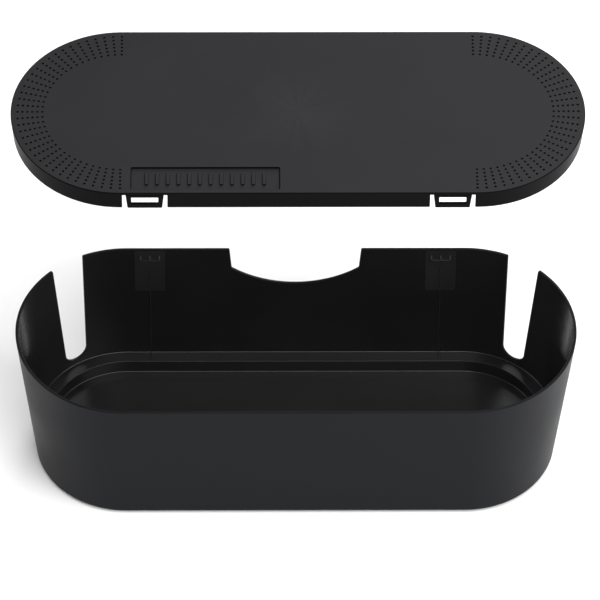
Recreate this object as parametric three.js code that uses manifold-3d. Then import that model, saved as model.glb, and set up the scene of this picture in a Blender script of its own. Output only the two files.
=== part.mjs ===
// Cable box: an open tub with half-round ends, a lift-off lid with four snap tongues, and four
// push-in rubber feet. Millimetres, +Z up. The origin is on the desk, under the middle of the tub.
// The lid is drawn raised straight above the tub, as it is when the box is open.
import * as THREE from 'three';
import { mergeVertices } from 'three/addons/utils/BufferGeometryUtils.js';
import Module from 'manifold-3d';

const wasm = await Module();
wasm.setup();

// ---- Driving dimensions ----

// Plan outline: two half circles joined by straight sides, the same centres at every height.
const END_CENTRE_X = 127;
const RIM_RADIUS = 82;
const BASE_RADIUS = 69;
const ARC_STEPS = 24;

// Tub heights and thicknesses.
const WALL_BOTTOM_Z = 2.5;
const RIM_Z = 130.5;
const WALL = 2.2;
const FLOOR_Z = 15;
const LEDGE_Z = 26;
const LEDGE_WIDTH = 9.6;
const RISER_DRAFT = 0.4;
const RIM_CHAMFER = 0.5;
const BOTTOM_ROUND = 1.8;

// Cable notch in the rear wall.
const NOTCH_TOP_HALF = 50;
const NOTCH_SIDE_HALF = 47.9;
const NOTCH_SIDE_DEPTH = 18.9;
const NOTCH_DEPTH = 34.2;

// Cable slots at the two rear corners.
const SLOT_ANGLE = THREE.MathUtils.degToRad(56.3);
const SLOT_TOP_HALF = 13.9;
const SLOT_BOTTOM_RADIUS = 9.6;
const SLOT_DEPTH = 100;

// Catches on the inner wall, and the tongues of the lid that snap over them.
const LATCH_X = 109.5;
const CATCH_WIDTH = 15.4;
const CATCH_TOP = 5.6;
const CATCH_BOTTOM = 10.4;
const CATCH_REACH = 1.5;
const CATCH_LEDGE = 1.0;
const CATCH_RIB = 1.3;
const CATCH_TIP = 0.4;

// Lid. It drops in between the walls until its top is level with the rim, and its skirt grows
// straight down from the edge of its plate.
const LID_LIFT = 237.5;
const LID_GAP = 0.4;
const LID_RADIUS = RIM_RADIUS - WALL - LID_GAP;
const PLATE = 2.2;
const PLATE_ROUND = 0.6;
const SKIRT = 1.8;
const SKIRT_DEPTH = 16.6;
const SKIRT_DRAFT = 0.0915;

// Recessed panel in the top of the lid.
const PANEL = { x: -66.4, y: -64.9, length: 106, width: 21.4, depth: 1.2 };

// Snap tongues, measured down from the top of the lid.
const TONGUE_ROOT_HALF = 13.6;
const TONGUE_TIP_HALF = 12.3;
const TONGUE_TIP = 17;
const TONGUE_GAP = 0.3;
const TONGUE_SLOT = 2.5;
const WINDOW_HALF = 9.65;
const WINDOW_TOP = 5;
const WINDOW_BOTTOM = 12.4;

// Push-in feet and the hollow posts that hold them.
const FOOT_X = 122;
const FOOT_Y = 42;
const POST_RADIUS = 8;
const POST_BORE = 5;
const FOOT_RADIUS = 7.5;
const FOOT_THICKNESS = 2.2;
const STEM_RADIUS = 4.7;
const STEM_TOP = 10;
const ROUND_STEPS = 32;

// How far a cutting tool passes beyond the faces that it cuts.
const OVERCUT = 5;

// ---- Materials ----

const tubPlastic = () => new THREE.MeshStandardMaterial({ color: 0x1b1b1d, roughness: 0.32 });
const lidPlastic = () => new THREE.MeshStandardMaterial({ color: 0x343436, roughness: 0.55 });
const footRubber = () => new THREE.MeshStandardMaterial({ color: 0x141414, roughness: 0.9 });

// ---- Solids ----

// Removes triangles that have shrunk to a line, then makes a solid with its faces pointing out.
function solidFrom(geometry) {
  const bare = geometry.index ? geometry.toNonIndexed() : geometry.clone();
  bare.deleteAttribute('normal');
  bare.deleteAttribute('uv');
  const merged = mergeVertices(bare, 1e-4);
  const corners = [];
  for (let i = 0; i < merged.index.count; i += 3) {
    const [a, b, c] = [0, 1, 2].map((k) => merged.index.getX(i + k));
    if (a !== b && b !== c && c !== a) corners.push(a, b, c);
  }
  return new wasm.Manifold(new wasm.Mesh({
    numProp: 3,
    vertProperties: new Float32Array(merged.attributes.position.array),
    triVerts: new Uint32Array(corners),
  }));
}

function geometryFrom(solid) {
  const mesh = solid.getMesh();
  const geometry = new THREE.BufferGeometry();
  geometry.setAttribute('position', new THREE.BufferAttribute(mesh.vertProperties, 3));
  geometry.setIndex(new THREE.BufferAttribute(mesh.triVerts, 1));
  geometry.computeVertexNormals();
  return geometry;
}

function boxSolid(size, centre) {
  const box = new THREE.BoxGeometry(...size).translate(...centre);
  return solidFrom(box);
}

// A point of the plan outline: round an end centre, then across the straight side to the next.
function outlineStations() {
  const stations = [];
  for (const side of [1, -1]) {
    for (let k = 0; k <= ARC_STEPS; k += 1) {
      const angle = (side > 0 ? -0.5 : 0.5) * Math.PI + (k / ARC_STEPS) * Math.PI;
      stations.push({ x: side * END_CENTRE_X, cos: Math.cos(angle), sin: Math.sin(angle) });
    }
  }
  return stations;
}

// Sweeps a profile of [radius, height] points round the plan outline. The profile starts on the
// middle line below and ends on it above, so that the swept body is closed.
function sweepOutline(profile) {
  const stations = outlineStations();
  const points = stations.map((s) => profile.map(([r, z]) => [s.x + r * s.cos, r * s.sin, z]));
  const positions = [];
  for (let j = 0; j < stations.length; j += 1) {
    const here = points[j];
    const next = points[(j + 1) % stations.length];
    for (let i = 0; i + 1 < profile.length; i += 1) {
      positions.push(...here[i], ...next[i], ...next[i + 1]);
      positions.push(...here[i], ...next[i + 1], ...here[i + 1]);
    }
  }
  const geometry = new THREE.BufferGeometry();
  geometry.setAttribute('position', new THREE.Float32BufferAttribute(positions, 3));
  return solidFrom(geometry);
}

// ---- Tub ----

const wallSlope = (RIM_RADIUS - BASE_RADIUS) / (RIM_Z - WALL_BOTTOM_Z);
const outerRadius = (z) => BASE_RADIUS + wallSlope * (z - WALL_BOTTOM_Z);
const innerRadius = (z) => outerRadius(z) - WALL;

// The wall runs from the desk to the rim; a ledge and a riser step down from it to the floor.
function tubShell() {
  const ledgeEdge = innerRadius(LEDGE_Z) - LEDGE_WIDTH;
  const ledgeUnder = LEDGE_Z - WALL;
  const floorUnder = FLOOR_Z - WALL;
  const riserOutside = ledgeEdge + WALL;
  const roundTop = WALL_BOTTOM_Z + BOTTOM_ROUND;
  return sweepOutline([
    [0, floorUnder],
    [riserOutside - RISER_DRAFT, floorUnder],
    [riserOutside, ledgeUnder],
    [innerRadius(ledgeUnder), ledgeUnder],
    [innerRadius(WALL_BOTTOM_Z), WALL_BOTTOM_Z],
    [BASE_RADIUS - BOTTOM_ROUND, WALL_BOTTOM_Z],
    [BASE_RADIUS - BOTTOM_ROUND * 0.3, WALL_BOTTOM_Z + BOTTOM_ROUND * 0.3],
    [outerRadius(roundTop), roundTop],
    [outerRadius(RIM_Z - RIM_CHAMFER), RIM_Z - RIM_CHAMFER],
    [RIM_RADIUS - RIM_CHAMFER, RIM_Z],
    [innerRadius(RIM_Z) + RIM_CHAMFER, RIM_Z],
    [innerRadius(RIM_Z - RIM_CHAMFER), RIM_Z - RIM_CHAMFER],
    [innerRadius(LEDGE_Z), LEDGE_Z],
    [ledgeEdge, LEDGE_Z],
    [ledgeEdge - RISER_DRAFT, FLOOR_Z],
    [0, FLOOR_Z],
  ]);
}

// Short straight sides, then a shallow bowl.
function notchCutter() {
  const sagitta = NOTCH_DEPTH - NOTCH_SIDE_DEPTH;
  const radius = (NOTCH_SIDE_HALF ** 2 + sagitta ** 2) / (2 * sagitta);
  const half = Math.asin(NOTCH_SIDE_HALF / radius);
  const top = RIM_Z + OVERCUT;
  const shape = new THREE.Shape();
  shape.moveTo(NOTCH_TOP_HALF, top);
  shape.lineTo(-NOTCH_TOP_HALF, top);
  shape.lineTo(-NOTCH_SIDE_HALF, RIM_Z - NOTCH_SIDE_DEPTH);
  shape.absarc(0, RIM_Z - NOTCH_DEPTH + radius, radius,
    -Math.PI / 2 - half, -Math.PI / 2 + half, false);
  shape.closePath();
  const depth = RIM_RADIUS;
  const geometry = new THREE.ExtrudeGeometry(shape, { depth, bevelEnabled: false, curveSegments: 24 });
  geometry.rotateX(Math.PI / 2).translate(0, 1.5 * RIM_RADIUS, 0);
  return solidFrom(geometry);
}

// A tapering slot with a round bottom, cut outwards from the centre of one half-round end.
function slotCutter(side) {
  const bottomCentre = RIM_Z - SLOT_DEPTH + SLOT_BOTTOM_RADIUS;
  const shape = new THREE.Shape();
  shape.moveTo(SLOT_TOP_HALF, RIM_Z + OVERCUT);
  shape.lineTo(-SLOT_TOP_HALF, RIM_Z + OVERCUT);
  shape.lineTo(-SLOT_BOTTOM_RADIUS, bottomCentre);
  shape.absarc(0, bottomCentre, SLOT_BOTTOM_RADIUS, -Math.PI, 0, false);
  shape.closePath();
  const depth = RIM_RADIUS / 2 + OVERCUT;
  const geometry = new THREE.ExtrudeGeometry(shape, { depth, bevelEnabled: false, curveSegments: 12 });
  const facing = side > 0 ? SLOT_ANGLE : Math.PI - SLOT_ANGLE;
  geometry.translate(0, 0, RIM_RADIUS / 2).rotateX(Math.PI / 2).rotateZ(facing + Math.PI / 2);
  geometry.translate(side * END_CENTRE_X, 0, 0);
  return solidFrom(geometry);
}

// A bar whose section is drawn across the front wall, as [distance inwards, height] points.
function wallBar(section, width, centreX) {
  const shape = new THREE.Shape(section.map(([y, z]) => new THREE.Vector2(y, z)));
  const geometry = new THREE.ExtrudeGeometry(shape, { depth: width, bevelEnabled: false });
  geometry.rotateX(Math.PI / 2).rotateZ(Math.PI / 2).translate(centreX - width / 2, 0, 0);
  return solidFrom(geometry);
}

// A catch on the front wall: three sloping ribs over a ledge, all rooted in the wall.
function frontCatch(x) {
  const top = RIM_Z - CATCH_TOP;
  const bottom = RIM_Z - CATCH_BOTTOM;
  const root = -innerRadius(bottom) - 1;
  const tip = -innerRadius(bottom) + CATCH_REACH;
  const ledge = wallBar([[root, bottom], [tip, bottom], [tip, bottom + CATCH_LEDGE],
    [root, bottom + CATCH_LEDGE]], CATCH_WIDTH, x);
  const rib = [[root, bottom], [tip, bottom], [tip, bottom + CATCH_TIP],
    [-innerRadius(top), top], [root, top]];
  const step = (CATCH_WIDTH - CATCH_RIB) / 2;
  return [-1, 0, 1].reduce((body, k) => body.add(wallBar(rib, CATCH_RIB, x + k * step)), ledge);
}

function footPost(x, y) {
  const height = FLOOR_Z - WALL / 2 - WALL_BOTTOM_Z;
  const profile = [[POST_BORE, 0], [POST_RADIUS, 0], [POST_RADIUS, height], [POST_BORE, height],
    [POST_BORE, 0]].map(([r, z]) => new THREE.Vector2(r, z));
  const geometry = new THREE.LatheGeometry(profile, ROUND_STEPS).rotateX(Math.PI / 2);
  return solidFrom(geometry.translate(x, y, WALL_BOTTOM_Z));
}

function tub() {
  let body = tubShell();
  for (const x of [-FOOT_X, FOOT_X]) {
    for (const y of [-FOOT_Y, FOOT_Y]) body = body.add(footPost(x, y));
  }
  for (const x of [-LATCH_X, LATCH_X]) {
    body = body.add(frontCatch(x)).add(frontCatch(-x).rotate([0, 0, 180]));
  }
  body = body.subtract(notchCutter()).subtract(slotCutter(1)).subtract(slotCutter(-1));
  const mesh = new THREE.Mesh(geometryFrom(body), tubPlastic());
  mesh.name = 'tub';
  return mesh;
}

// ---- Feet ----

function foot(name, x, y) {
  const profile = [[0, 0], [FOOT_RADIUS - 0.8, 0], [FOOT_RADIUS, 0.8], [FOOT_RADIUS, FOOT_THICKNESS],
    [STEM_RADIUS, FOOT_THICKNESS], [STEM_RADIUS, STEM_TOP - 1.5], [STEM_RADIUS - 1.2, STEM_TOP],
    [0, STEM_TOP]].map(([r, z]) => new THREE.Vector2(r, z));
  const geometry = new THREE.LatheGeometry(profile, ROUND_STEPS).rotateX(Math.PI / 2);
  const mesh = new THREE.Mesh(geometryFrom(solidFrom(geometry)), footRubber());
  mesh.name = name;
  mesh.position.set(x, y, 0);
  return mesh;
}

// ---- Lid, in its closed place ----

const lidTop = RIM_Z;
const plateUnder = lidTop - PLATE;
const skirtRadius = (depth) => LID_RADIUS - SKIRT_DRAFT * depth;

function lidShell() {
  return sweepOutline([
    [0, plateUnder],
    [skirtRadius(PLATE) - SKIRT, plateUnder],
    [skirtRadius(SKIRT_DEPTH) - SKIRT, lidTop - SKIRT_DEPTH],
    [skirtRadius(SKIRT_DEPTH), lidTop - SKIRT_DEPTH],
    [skirtRadius(PLATE_ROUND), lidTop - PLATE_ROUND],
    [LID_RADIUS - PLATE_ROUND, lidTop],
    [0, lidTop],
  ]);
}

// The skirt is cut away round each tongue, up to the underside of the plate.
function tongueGapCutter(x, side) {
  const width = 2 * (TONGUE_ROOT_HALF + TONGUE_SLOT);
  const height = SKIRT_DEPTH;
  return boxSolid([width, 4 * SKIRT, height],
    [x, side * skirtRadius(SKIRT_DEPTH / 2), plateUnder - height / 2]);
}

function lid() {
  let body = lidShell();
  for (const x of [-LATCH_X, LATCH_X]) {
    for (const side of [-1, 1]) body = body.subtract(tongueGapCutter(x, side));
  }
  const panel = [PANEL.length, PANEL.width, 2 * PANEL.depth];
  body = body.subtract(boxSolid(panel, [PANEL.x, PANEL.y, lidTop]));
  const mesh = new THREE.Mesh(geometryFrom(body), lidPlastic());
  mesh.name = 'lid';
  return mesh;
}

// ---- Snap tongues ----

// Drawn flat with the root at the top, then leaned to follow the skirt.
function tongueGeometry() {
  const root = -TONGUE_GAP;
  const tip = PLATE - TONGUE_TIP;
  const shape = new THREE.Shape();
  shape.moveTo(-TONGUE_ROOT_HALF, root);
  shape.lineTo(-TONGUE_TIP_HALF, tip);
  shape.lineTo(TONGUE_TIP_HALF, tip);
  shape.lineTo(TONGUE_ROOT_HALF, root);
  shape.closePath();
  const top = PLATE - WINDOW_TOP;
  const bottom = PLATE - WINDOW_BOTTOM;
  const windowPath = new THREE.Path();
  windowPath.moveTo(-WINDOW_HALF, top);
  windowPath.lineTo(WINDOW_HALF, top);
  windowPath.lineTo(WINDOW_HALF, bottom);
  windowPath.lineTo(-WINDOW_HALF, bottom);
  windowPath.closePath();
  shape.holes.push(windowPath);
  return new THREE.ExtrudeGeometry(shape, { depth: SKIRT, bevelEnabled: false });
}

// Turns the flat tongue upright, with its outer face on the skirt's and its tip leaned inwards.
function tongue(name, x, side) {
  const geometry = tongueGeometry().rotateX(Math.PI / 2 + Math.atan(SKIRT_DRAFT));
  const mesh = new THREE.Mesh(geometryFrom(solidFrom(geometry)), lidPlastic());
  mesh.name = name;
  mesh.rotation.z = side > 0 ? Math.PI : 0;
  mesh.position.set(x, side * (skirtRadius(PLATE) - SKIRT), plateUnder);
  return mesh;
}

// ---- Assembly ----

const box = new THREE.Group();
box.add(tub());

const raisedLid = new THREE.Group();
raisedLid.position.z = LID_LIFT;
raisedLid.add(lid());
for (const [endName, x] of [['left', -1], ['right', 1]]) {
  for (const [faceName, side] of [['front', -1], ['rear', 1]]) {
    raisedLid.add(tongue(`tongue_${faceName}_${endName}`, x * LATCH_X, side));
    box.add(foot(`foot_${faceName}_${endName}`, x * FOOT_X, side * FOOT_Y));
  }
}
box.add(raisedLid);

export default box;
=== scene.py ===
"""A cable box: an open tub with half-round ends, a lift-off lid with snap tongues, four feet.

Every size is in millimetres until a body becomes a mesh; the frame itself is in metres.
"""
from __future__ import annotations

import logging
import math
from bisect import bisect_left
from collections.abc import Callable, Iterable, Sequence
from dataclasses import dataclass, field
from enum import Enum

import bmesh
import bpy
from mathutils import Matrix, Vector
from mathutils.geometry import delaunay_2d_cdt
from mathutils.kdtree import KDTree


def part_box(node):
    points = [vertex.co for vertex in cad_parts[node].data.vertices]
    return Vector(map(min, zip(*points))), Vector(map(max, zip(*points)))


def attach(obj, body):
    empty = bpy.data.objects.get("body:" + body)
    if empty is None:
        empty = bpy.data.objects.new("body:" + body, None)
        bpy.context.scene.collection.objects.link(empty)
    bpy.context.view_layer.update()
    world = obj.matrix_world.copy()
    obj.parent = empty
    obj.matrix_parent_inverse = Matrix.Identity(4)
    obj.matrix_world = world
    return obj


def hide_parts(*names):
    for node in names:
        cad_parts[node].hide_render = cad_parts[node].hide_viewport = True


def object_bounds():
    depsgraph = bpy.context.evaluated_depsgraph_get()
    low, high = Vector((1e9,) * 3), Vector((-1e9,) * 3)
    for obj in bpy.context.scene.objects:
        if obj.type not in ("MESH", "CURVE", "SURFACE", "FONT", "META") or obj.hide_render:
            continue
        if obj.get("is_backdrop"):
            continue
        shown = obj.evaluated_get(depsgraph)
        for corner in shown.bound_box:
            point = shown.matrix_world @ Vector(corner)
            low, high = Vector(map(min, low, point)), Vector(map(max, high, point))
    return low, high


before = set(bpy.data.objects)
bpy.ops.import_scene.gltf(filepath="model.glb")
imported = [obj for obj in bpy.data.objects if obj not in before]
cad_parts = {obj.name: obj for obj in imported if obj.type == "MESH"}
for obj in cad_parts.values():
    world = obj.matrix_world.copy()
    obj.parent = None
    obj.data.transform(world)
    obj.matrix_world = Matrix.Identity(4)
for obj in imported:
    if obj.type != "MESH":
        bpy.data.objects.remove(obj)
CAD_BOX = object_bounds()

LOG = logging.getLogger("cable_box")

MM = 0.001
WELD = 0.004  # corners closer than this, in millimetres, become one
GUARD = 0.5  # from a rounding to the row of points that keeps the flat beyond it flat
SHARP_ANGLE = math.radians(38)
QUARTER = math.pi / 2
FAN = math.radians(15)  # the largest turn of one run of a rounded corner
ROUND_STEPS = 48
LEAST_COSINE = 0.3  # keeps the tip of a sharp corner from running away
CDT_INSIDE_WITH_HOLES = 2
CDT_TOLERANCE = 1e-5
SLAB_CORNERS = ((1, -1), (1, 1), (-1, 1), (-1, -1))

Point = tuple[float, float]
Corner = tuple[float, float, float]
Axes = tuple[float, float, float]
Colour = tuple[float, float, float]
Cover = tuple[float, float, float, float]
Socket = bpy.types.NodeSocket
Feed = Socket | float | Axes | Cover
Place = Callable[[float, float, float], Vector]


def in_mm(value: float) -> float:
    """Turns a length of the frame, in metres, into millimetres."""
    return value / MM


# ---- Paths drawn on a flat sheet ----


class Closing(Enum):
    """Whether a path ends where it began."""

    OPEN = "open"
    LOOP = "loop"


def divided(points: Sequence[Point], closing: Closing, step: float) -> list[Point]:
    """Splits the long runs of a path.

    Args:
        points: The path.
        closing: Whether the last point joins the first.
        step: The longest run left whole.

    Returns:
        The path with the extra points in place.
    """
    ends = list(points[1:]) + ([points[0]] if closing is Closing.LOOP else [])
    result: list[Point] = []
    for start, end in zip(points, ends):
        count = max(1, math.ceil(math.dist(start, end) / step))
        for k in range(count):
            part = k / count
            result.append((start[0] + (end[0] - start[0]) * part, start[1] + (end[1] - start[1]) * part))
    if closing is Closing.OPEN:
        result.append(points[-1])
    return result


def arc(centre: Point, radius: float, start: float, end: float, steps: int) -> list[Point]:
    """Draws part of a circle from one angle to another, in straight runs, both ends among them."""
    angles = [start + (end - start) * k / steps for k in range(steps + 1)]
    return [(centre[0] + radius * math.cos(a), centre[1] + radius * math.sin(a)) for a in angles]


def rounded(corners: Sequence[Corner], closing: Closing) -> list[Point]:
    """Rounds the corners of a path.

    Args:
        corners: Each corner with the radius that it is rounded to, 0 where it stays a corner.
        closing: Whether the last corner joins the first.

    Returns:
        The points of the rounded path.
    """
    count = len(corners)
    result: list[Point] = []
    for k, (x, y, radius) in enumerate(corners):
        at_end = closing is Closing.OPEN and k in (0, count - 1)
        if radius <= 0 or at_end:
            result.append((x, y))
            continue
        here = Vector((x, y))
        back = (Vector(corners[k - 1][:2]) - here).normalized()
        ahead = (Vector(corners[(k + 1) % count][:2]) - here).normalized()
        half = back.angle(ahead) / 2
        centre = here + (back + ahead).normalized() * (radius / math.sin(half))
        reach = radius / math.tan(half)
        spokes = (here + back * reach - centre, here + ahead * reach - centre)
        start = math.atan2(spokes[0].y, spokes[0].x)
        turn = spokes[1].angle_signed(spokes[0])
        steps = max(2, math.ceil(abs(turn) / FAN))
        result.extend(arc((centre.x, centre.y), radius, start, start + turn, steps))
    return result


def leftward(points: Sequence[Point], closing: Closing, distance: float) -> list[Point]:
    """Moves a path sideways.

    Args:
        points: The path.
        closing: Whether the last point joins the first.
        distance: How far it moves to its own left; to its right where this is negative.

    Returns:
        The moved path, with as many points.
    """
    count = len(points)
    result: list[Point] = []
    for k, (x, y) in enumerate(points):
        before = points[k - 1] if k or closing is Closing.LOOP else None
        after = points[(k + 1) % count] if k + 1 < count or closing is Closing.LOOP else None
        runs = [(x - before[0], y - before[1])] if before else []
        runs += [(after[0] - x, after[1] - y)] if after else []
        sides = [Vector((-run[1], run[0])).normalized() for run in runs]
        middle = sum(sides, Vector((0, 0))).normalized()
        reach = distance / max(LEAST_COSINE, middle.dot(sides[0]))
        result.append((x + middle.x * reach, y + middle.y * reach))
    return result


def turned_left(points: Sequence[Point]) -> list[Point]:
    """Puts the points of a loop in counter-clockwise order.

    Args:
        points: The loop.

    Returns:
        The same points, in that order.
    """
    pairs = zip(points, list(points[1:]) + [points[0]])
    doubled_area = sum(a[0] * b[1] - b[0] * a[1] for a, b in pairs)
    return list(points) if doubled_area > 0 else list(reversed(points))


def slab(width: float, height: float, radius: float, centre: Point = (0, 0)) -> list[Point]:
    """Draws an upright rectangle with round corners, counter-clockwise round its centre."""
    x, y = centre
    return rounded([(x + i * width / 2, y + j * height / 2, radius) for i, j in SLAB_CORNERS], Closing.LOOP)


# ---- Bodies ----


@dataclass
class Edge:
    """A free edge of a sheet of plastic, with the body of the sheet on the left of its path."""

    path: list[Point]
    near: float
    far: float
    steps: int = 3
    closing: Closing = Closing.LOOP

    def section(self, thickness: float) -> list[Point]:
        """Draws the rounded edge across the sheet.

        Args:
            thickness: The thickness of the sheet.

        Returns:
            Pairs of depth into the sheet and distance back from the edge.
        """
        angles = [QUARTER * k / self.steps for k in range(self.steps + 1)]
        front = [(self.near * (1 - math.cos(a)), self.near * (1 - math.sin(a))) for a in angles]
        back = [(thickness - self.far * (1 - math.cos(a)), self.far * (1 - math.sin(a)))
                for a in reversed(angles)]
        return front + back

    def inset(self, distance: float) -> list[Point]:
        """Gives the path moved back into the sheet."""
        return leftward(self.path, self.closing, distance)

    def guard(self) -> list[Point]:
        """Gives a row of points just inside the edge, so that the flat beyond it is shaded flat."""
        return self.inset(self.near + GUARD)


@dataclass
class Body:
    """Collects the corners and faces of one piece, in millimetres."""

    corners: list[Vector] = field(default_factory=list)
    faces: list[tuple[int, ...]] = field(default_factory=list)
    finishes: list[int] = field(default_factory=list)
    finish: int = 0

    def take(self, finish: Enum) -> None:
        """Takes a finish in hand for the faces that follow."""
        self.finish = finish.value

    def add_face(self, ring: Iterable[int]) -> None:
        """Adds one face, in the finish that is in hand."""
        self.faces.append(tuple(ring))
        self.finishes.append(self.finish)

    def ribbon(self, rows: Sequence[Sequence[Vector]], closing: Closing) -> None:
        """Lays faces between neighbouring rows of points.

        Args:
            rows: Rows of equally many points.
            closing: Whether the last point of each row joins the first.
        """
        first = len(self.corners)
        width = len(rows[0])
        for row in rows:
            self.corners.extend(row)
        across = width if closing is Closing.LOOP else width - 1
        for r in range(len(rows) - 1):
            low = first + r * width
            high = low + width
            for k in range(across):
                after = (k + 1) % width
                self.add_face((low + k, low + after, high + after, high + k))

    def edge(self, edge: Edge, thickness: float, place: Place) -> None:
        """Lays the rounded faces of a free edge.

        Args:
            edge: The edge.
            thickness: The thickness of the sheet that it belongs to.
            place: Puts a point of the flat sheet in its place in the box.
        """
        section = edge.section(thickness)
        rows = [[place(x, y, depth) for x, y in edge.inset(back)] for depth, back in section]
        self.ribbon(rows, edge.closing)

    def sheet(self, loops: Sequence[Sequence[Point]], inside: Sequence[Point], depth: float,
              place: Place) -> None:
        """Covers the room between an outer loop and its holes with triangles.

        Args:
            loops: The outer loop, then the holes.
            inside: Points that triangles meet at, away from the loops.
            depth: How deep in the plastic the sheet lies.
            place: Puts a point of the flat sheet in its place in the box.
        """
        flat: list[Point] = []
        rings: list[list[int]] = []
        for loop in loops:
            ring = turned_left(loop)
            rings.append(list(range(len(flat), len(flat) + len(ring))))
            flat.extend(ring)
        flat.extend(inside)
        given = [Vector(point) for point in flat]
        made = delaunay_2d_cdt(given, [], rings, CDT_INSIDE_WITH_HOLES, CDT_TOLERANCE)
        spots, _, faces, origins, _, _ = made
        first = len(self.corners)
        for spot, origin in zip(spots, origins):
            x, y = flat[origin[0]] if origin else (spot.x, spot.y)
            self.corners.append(place(x, y, depth))
        for face in faces:
            self.add_face(first + k for k in face)

    def plate(self, edges: Sequence[Edge], thickness: float, place: Place,
              inside: Sequence[Point] = (), side_finish: Enum | None = None) -> None:
        """Makes a closed plate with round edges.

        Args:
            edges: The outer edge, then the edges of the holes.
            thickness: The thickness of the plate.
            place: Puts a point of the flat plate in its place in the box.
            inside: Points that the triangles of both faces meet at.
            side_finish: The finish of the edges, where it isn't that of the faces.
        """
        self.sheet([e.inset(e.near) for e in edges], inside, 0, place)
        self.sheet([e.inset(e.far) for e in edges], inside, thickness, place)
        if side_finish:
            self.take(side_finish)
        for edge in edges:
            self.edge(edge, thickness, place)

    def turning(self, profile: Sequence[Point], centre: Vector, closing: Closing) -> None:
        """Turns a profile round an upright axis.

        Args:
            profile: Pairs of radius and height.
            centre: A point of the axis, at height 0 of the profile.
            closing: Whether the profile ends where it began.
        """
        angles = [2 * math.pi * k / ROUND_STEPS for k in range(ROUND_STEPS)]
        path = list(profile) + (list(profile[:1]) if closing is Closing.LOOP else [])
        rows = [[centre + Vector((r * math.cos(a), r * math.sin(a), z)) for a in angles] for r, z in path]
        self.ribbon(rows, Closing.LOOP)

    def to_object(self, name: str, materials: Sequence[bpy.types.Material]) -> bpy.types.Object:
        """Welds the faces into a mesh object with its faces pointing out.

        Args:
            name: The name of the piece.
            materials: The finishes, in the order that the faces count them.

        Returns:
            The object, in the scene.
        """
        work = bmesh.new()
        points = [work.verts.new(corner * MM) for corner in self.corners]
        for ring, finish in zip(self.faces, self.finishes):
            face = work.faces.new([points[k] for k in ring])
            face.smooth = True
            face.material_index = finish
        bmesh.ops.remove_doubles(work, verts=work.verts, dist=WELD * MM)
        bmesh.ops.recalc_face_normals(work, faces=work.faces)
        open_edges = sum(1 for e in work.edges if not e.is_manifold)
        if open_edges:
            LOG.warning("%s has %d open edges", name, open_edges)
        mesh = bpy.data.meshes.new(name)
        work.to_mesh(mesh)
        work.free()
        for material in materials:
            mesh.materials.append(material)
        mesh.set_sharp_from_angle(angle=SHARP_ANGLE)
        piece = bpy.data.objects.new(name, mesh)
        bpy.context.scene.collection.objects.link(piece)
        weighted = piece.modifiers.new("even_shading", "WEIGHTED_NORMAL")
        weighted.keep_sharp = True
        return piece


# ---- Finishes ----


def shade_of(colour: Colour, factor: float = 1.0) -> Cover:
    """Gives a lighter or darker shade of a colour, with full cover."""
    return (colour[0] * factor, colour[1] * factor, colour[2] * factor, 1.0)


def around(middle: float, reach: float) -> Point:
    """Gives the range that reaches equally far to both sides of a value."""
    return (middle - reach, middle + reach)


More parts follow.
